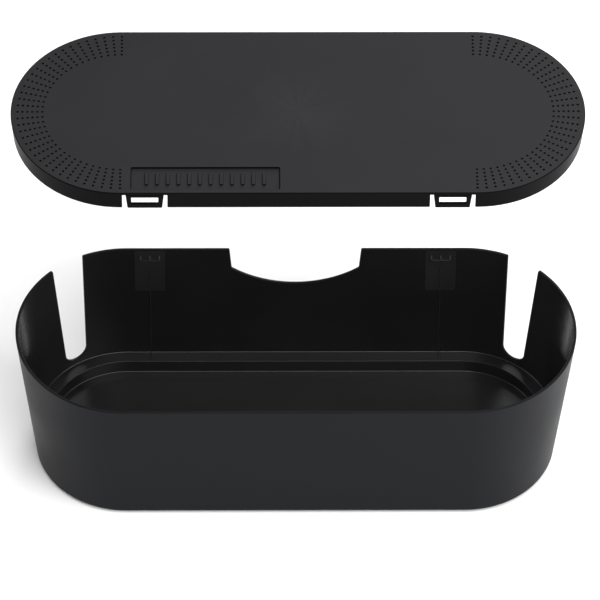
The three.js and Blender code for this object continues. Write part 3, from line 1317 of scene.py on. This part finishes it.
    def add_grip_bars(self) -> None:
        """Adds a plain row of short raised bars to the sunk panel, with smooth sides that carry painted
        shade.
        """

        def place(x: float, y: float, depth: float) -> Vector:
            """Puts a point of a bar in its place, a depth below the bar's top."""
            return self.flat(x, y, self.panel_depth - self.bar_rise + depth)

        for k in range(self.bar_count):
            x = self.panel_x + (k - (self.bar_count - 1) / 2) * self.bar_pitch
            loop = slab(self.bar_width, self.bar_length, self.bar_corner, (x, self.panel_y))
            edge = Edge(loop, self.bar_edge, self.bar_foot)
            self.body.take(LidFinish.GRAINED)
            self.body.plate([edge], self.bar_rise + self.bar_sink, place, side_finish=LidFinish.SMOOTH)

    def add_skirt(self) -> None:
        """Adds the skirt in four runs, with gaps for the tongues."""
        # The skirt takes the smooth finish, darkened as painted shade.
        self.body.take(LidFinish.SMOOTH)
        gap_in = self.tongue_x - self.tongue_gap
        gap_out = self.tongue_x + self.tongue_gap
        length = self.outline.length
        rear_out = self.outline.at_rear(gap_out)
        runs = [(-gap_in, gap_in), (gap_out, rear_out),
                (self.outline.at_rear(gap_in), self.outline.at_rear(-gap_in)),
                (length - rear_out, length - gap_out)]
        high = self.plate - self.skirt_overlap
        middle = (high + self.skirt_depth) / 2
        step = self.outline.reference * math.pi / self.outline.arc_steps

        def place(along: float, depth: float, inwards: float) -> Vector:
            """Puts a point of the unrolled skirt in its place."""
            return self.leaning(along, inwards + self.skirt_step, depth)

        for start, stop in runs:
            centre = ((start + stop) / 2, middle)
            loop = slab(stop - start, self.skirt_depth - high, self.skirt_corner, centre)
            first = start + self.skirt_margin
            run = stop - self.skirt_margin - first
            count = math.ceil(run / self.skirt_grid)
            inside = [(first + run * k / count, middle + row * self.skirt_grid)
                      for k in range(count + 1) for row in (-1, 0, 1)]
            edge = Edge(divided(loop, Closing.LOOP, step), self.skirt_edge, self.skirt_edge)
            self.body.plate([edge], self.skirt, place, inside + edge.guard())

    def build(self, grained: bpy.types.Material, smooth: bpy.types.Material) -> bpy.types.Object:
        """Makes the lid.

        Args:
            grained: The finish of the top.
            smooth: The finish of the sides and the underside, darkened as painted shade.

        Returns:
            The piece, riding on its body.
        """
        self.add_plate()
        self.add_grip_bars()
        self.add_skirt()
        piece = self.body.to_object("lid_plate", [grained, smooth])
        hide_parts("lid")
        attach(piece, "lid")
        return piece


@dataclass
class Tongue:
    """A springy tongue that hangs from the lid, with a window that snaps over a catch."""

    lid: Lid
    face: Face
    end: End
    root_half: float = 13.6
    tip_half: float = 12.3
    tip: float = 17.0
    gap: float = 0.3
    window_half: float = 9.65
    window_top: float = 5.0
    window_bottom: float = 12.4
    window_corner: float = 0.6
    window_edge: float = 0.2
    root_corner: float = 0.35
    tip_corner: float = 1.0
    edge_round: float = 0.3
    step: float = 3.0

    @property
    def name(self) -> str:
        """The name of the tongue's node and body."""
        return f"tongue_{self.face.name.lower()}_{self.end.name.lower()}"

    def place(self, across: float, along: float, depth: float) -> Vector:
        """Puts a point of the flat tongue in its place.

        Args:
            across: The distance to the side of the tongue's middle.
            along: The distance down its slope from the plate.
            depth: The depth in from its outer face.

        Returns:
            The point.
        """
        lean = math.atan(self.lid.skirt_draft)
        inner = self.lid.skirt_outside(self.lid.plate) - self.lid.skirt
        inwards = depth - self.lid.skirt
        radius = inner - inwards * math.cos(lean) - along * math.sin(lean)
        drop = along * math.cos(lean) - inwards * math.sin(lean)
        under = self.lid.top - self.lid.plate
        x = self.end.value * self.lid.tongue_x + across
        return Vector((x, self.face.value * radius, under - drop))

    def build(self, plastic: bpy.types.Material) -> bpy.types.Object:
        """Makes the tongue.

        Args:
            plastic: Its finish, the smooth one darkened as painted shade.

        Returns:
            The piece, riding on its body.
        """
        low = self.tip - self.lid.plate
        outer = rounded([(-self.root_half, self.gap, self.root_corner),
                         (self.root_half, self.gap, self.root_corner),
                         (self.tip_half, low, self.tip_corner),
                         (-self.tip_half, low, self.tip_corner)], Closing.LOOP)
        height = self.window_bottom - self.window_top
        middle = (self.window_bottom + self.window_top) / 2 - self.lid.plate
        window = slab(2 * self.window_half, height, self.window_corner, (0, middle))[::-1]
        body = Body()
        edges = [Edge(divided(outer, Closing.LOOP, self.step), self.edge_round, self.edge_round),
                 Edge(divided(window, Closing.LOOP, self.step), self.window_edge, self.window_edge)]
        guards = [point for edge in edges for point in edge.guard()]
        body.plate(edges, self.lid.skirt, self.place, guards)
        piece = body.to_object(f"{self.name}_clip", [plastic])
        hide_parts(self.name)
        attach(piece, self.name)
        return piece


# ---- The feet ----


@dataclass
class Foot:
    """A rubber foot: a round pad with a ring tread, on a stem that pushes into its post.

    A section is drawn from the middle outwards, or upwards, as radius, height and rounding.
    """

    face: Face
    end: End
    tread: tuple[Corner, ...] = (
        (0.0, 0.45, 0.0), (2.6, 0.45, 0.2), (3.1, 0.0, 0.25), (4.4, 0.0, 0.25), (4.8, 0.4, 0.15),
        (5.3, 0.4, 0.15), (5.7, 0.0, 0.25), (7.5, 0.0, 0.7), (7.5, 2.2, 0.4))
    stem: tuple[Corner, ...] = (
        (4.7, 2.2, 0.15), (4.7, 4.6, 0.1), (4.35, 5.0, 0.1), (4.7, 6.2, 0.1), (4.7, 7.6, 0.2),
        (3.5, 10.0, 0.3), (0.0, 10.0, 0.0))

    @property
    def name(self) -> str:
        """The name of the foot's node."""
        return f"foot_{self.face.name.lower()}_{self.end.name.lower()}"

    def build(self, rubber: bpy.types.Material) -> bpy.types.Object:
        """Makes the foot.

        Args:
            rubber: Its finish.

        Returns:
            The piece, riding on the tub's body.
        """
        low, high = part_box(self.name)
        centre = (low + high) / 2 / MM
        body = Body()
        profile = rounded(self.tread + self.stem, Closing.OPEN)
        body.turning(profile, Vector((centre.x, centre.y, 0)), Closing.OPEN)
        piece = body.to_object(f"{self.name}_plug", [rubber])
        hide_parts(self.name)
        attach(piece, "tub")
        return piece


# ---- The studio ----


@dataclass(frozen=True)
class SoftBox:
    """A broad soft lamp."""

    name: str
    place: Axes
    size: float
    power: float
    aim: Axes = (0.0, 0.0, 0.1)

    def light(self) -> None:
        """Hangs the lamp in the studio, turned to its aim."""
        data = bpy.data.lights.new(self.name, "AREA")
        data.shape = "DISK"
        data.size = self.size
        data.energy = self.power
        lamp = bpy.data.objects.new(self.name, data)
        lamp.location = self.place
        gaze = Vector(self.aim) - Vector(self.place)
        lamp.rotation_euler = gaze.to_track_quat("-Z", "Y").to_euler()
        bpy.context.scene.collection.objects.link(lamp)


@dataclass(frozen=True)
class Studio:
    """A pale floor, even white surroundings, soft lamps and the camera."""

    floor_span: float = 30.0
    surroundings: float = 0.6
    distance: float = 5.0
    lens: float = 401.57
    elevation: float = math.radians(48.519)
    swing: float = math.radians(-0.838)
    roll: float = math.radians(0.545)
    target: Axes = (0.003118, 0.029428, 0.1305)
    lamps: tuple[SoftBox, ...] = (
        SoftBox("overhead_lamp", (0.6, -0.9, 2.3), 2.2, 66.0),
        SoftBox("right_lamp", (1.9, -1.2, 0.8), 1.4, 26.0),
        SoftBox("left_lamp", (-2.2, -0.3, 0.9), 1.0, 5.0),
        SoftBox("rear_lamp", (0.9, 2.4, 1.2), 1.6, 44.0),
    )

    def lay_floor(self) -> None:
        """Lays the floor under the feet."""
        half = self.floor_span / 2
        mesh = bpy.data.meshes.new("studio_floor")
        corners = [(-half, -half, 0), (half, -half, 0), (half, half, 0), (-half, half, 0)]
        mesh.from_pydata(corners, [], [(0, 1, 2, 3)])
        mesh.materials.append(PaleFloor().material())
        floor = bpy.data.objects.new("studio_floor", mesh)
        bpy.context.scene.collection.objects.link(floor)
        floor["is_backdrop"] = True

    def set_world(self) -> None:
        """Makes the surroundings an even white."""
        world = bpy.data.worlds.new("studio_world")
        world.use_nodes = True
        sky = world.node_tree.nodes["Background"]
        sky.inputs["Color"].default_value = (1.0, 1.0, 1.0, 1.0)
        sky.inputs["Strength"].default_value = self.surroundings
        bpy.context.scene.world = world
        bpy.context.scene.view_settings.view_transform = "Standard"

    def set_camera(self) -> None:
        """Stands the camera in front of the box, looking down on it."""
        level = math.cos(self.elevation)
        back = Vector((math.sin(self.swing) * level, -math.cos(self.swing) * level,
                       math.sin(self.elevation)))
        right = Vector((math.cos(self.swing), math.sin(self.swing), 0))
        up = back.cross(right)
        turned_right = right * math.cos(self.roll) + up * math.sin(self.roll)
        turned_up = up * math.cos(self.roll) - right * math.sin(self.roll)
        data = bpy.data.cameras.new("studio_camera")
        data.sensor_width = 36.0
        data.lens = self.lens
        data.clip_end = 100.0
        camera = bpy.data.objects.new("studio_camera", data)
        axes = Matrix((turned_right, turned_up, back)).transposed().to_4x4()
        camera.matrix_world = Matrix.Translation(Vector(self.target) + back * self.distance) @ axes
        bpy.context.scene.collection.objects.link(camera)
        bpy.context.scene.camera = camera

    def build(self) -> None:
        """Sets up the whole studio."""
        self.lay_floor()
        self.set_world()
        self.set_camera()
        for lamp in self.lamps:
            lamp.light()


# ---- The whole box ----


def main() -> None:
    """Builds the box piece by piece and reports each one."""
    logging.basicConfig(level=logging.INFO, format="%(name)s: %(message)s")
    tub_low, tub_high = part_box("tub")
    lid_low, lid_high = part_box("lid")
    rim_radius = in_mm(tub_high.y - tub_low.y) / 2
    outline = PlanOutline(end_centre=in_mm(tub_high.x - tub_low.x) / 2 - rim_radius)

    grained = LID_GRAINED.material()
    # The smooth finish is darkened as painted shade for the lid's sides, underside and tongues.
    smooth = LID_SMOOTH_PAINTED_SHADE.material()
    rubber = FOOT_RUBBER.material()

    tub = Tub(outline, in_mm(tub_high.z), in_mm(tub_low.z), rim_radius)
    report(tub.build(TUB_OUTSIDE.material(), TUB_INSIDE.material(), TUB_INSERT.material()))
    lid = Lid(outline, in_mm(lid_high.z), in_mm(lid_high.y - lid_low.y) / 2)
    report(lid.build(grained, smooth))
    for face in Face:
        for end in End:
            report(Tongue(lid, face, end).build(smooth))
            report(Foot(face, end).build(rubber))
    Studio().build()


def report(piece: bpy.types.Object) -> None:
    """Says what a piece is made of."""
    mesh = piece.data
    LOG.info("%s: %d points, %d faces", piece.name, len(mesh.vertices), len(mesh.polygons))


def write_sizes() -> None:
    """Works out the box of the frame and the box of the finished pieces, and keeps neither."""
    boxes = {"cad": CAD_BOX, "visual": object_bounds()}
    {name: [list(corner) for corner in box] for name, box in boxes.items()}


if __name__ == "__main__":
    main()
    write_sizes()
